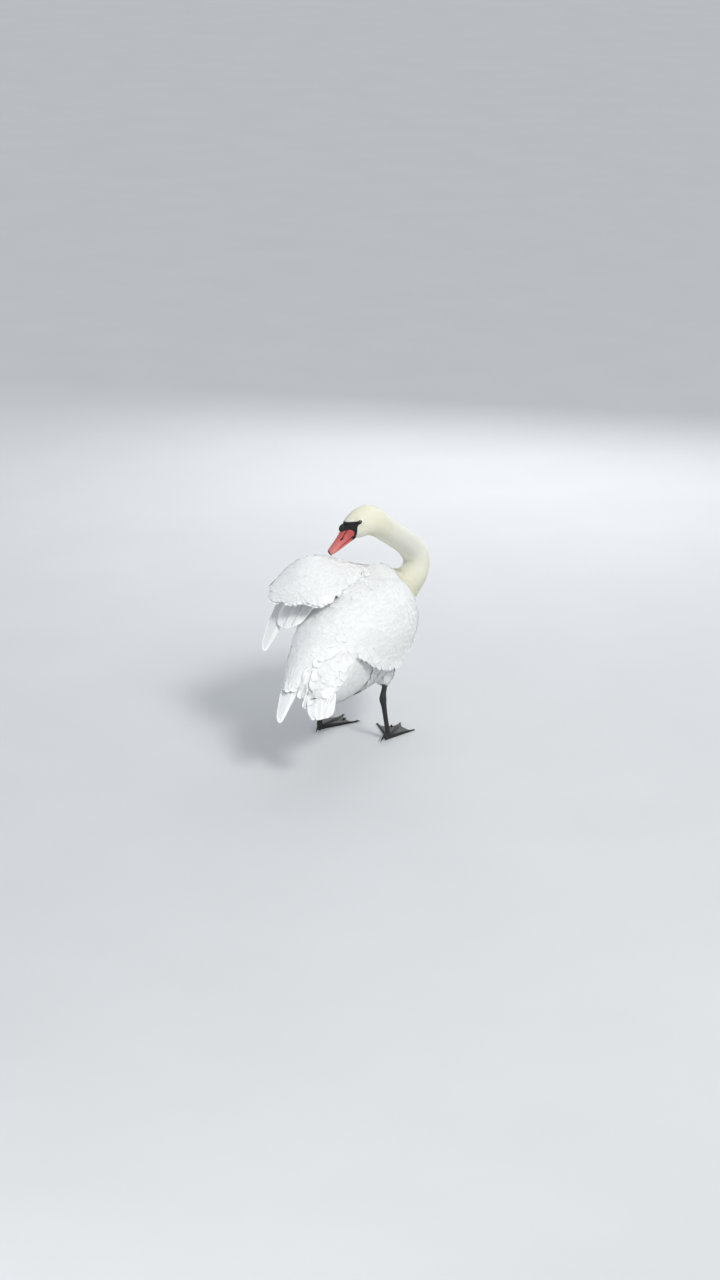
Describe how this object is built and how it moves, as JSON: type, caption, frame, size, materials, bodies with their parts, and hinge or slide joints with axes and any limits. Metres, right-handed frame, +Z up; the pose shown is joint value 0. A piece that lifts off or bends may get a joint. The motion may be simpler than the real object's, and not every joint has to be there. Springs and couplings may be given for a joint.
{
  "type": "mute swan model",
  "caption": "Life-size adult mute swan standing and preening: neck looped back, bill down to the raised left wing, right wing folded, tail turned to the right.",
  "frame": {"origin": "bottom centre of the bird's box: the floor under the middle of its length and width", "axes": "+Z up, the bird faces -Y, its left is +X"},
  "size_m": [0.3318, 0.8172, 0.6011],
  "materials": {
    "white_plumage": "soft, matt white feathers",
    "cream_plumage": "short velvety feathers, stained cream on the head and neck",
    "bill": "satin orange-red horn and skin",
    "black_skin": "satin black skin",
    "eye": "wet, glossy, very dark brown"
  },
  "bodies": {
    "root": {"trunk": "white_plumage", "neck_lower": "cream_plumage", "neck_middle": "cream_plumage", "neck_upper": "cream_plumage", "head": "cream_plumage", "wing_right": "white_plumage", "wing_left": "white_plumage", "secondaries_left": "white_plumage", "primaries_right": "white_plumage", "primaries_left": "white_plumage", "tail": "white_plumage", "thigh_left": "white_plumage", "thigh_right": "white_plumage", "bill_upper": "bill", "bill_lower": "bill", "bill_knob": "black_skin", "shank_left": "black_skin", "shank_right": "black_skin", "hind_toe_left": "black_skin", "hind_toe_right": "black_skin", "foot_left": "black_skin", "foot_right": "black_skin", "eye_left": "eye", "eye_right": "eye"}
  },
  "joints": []
}
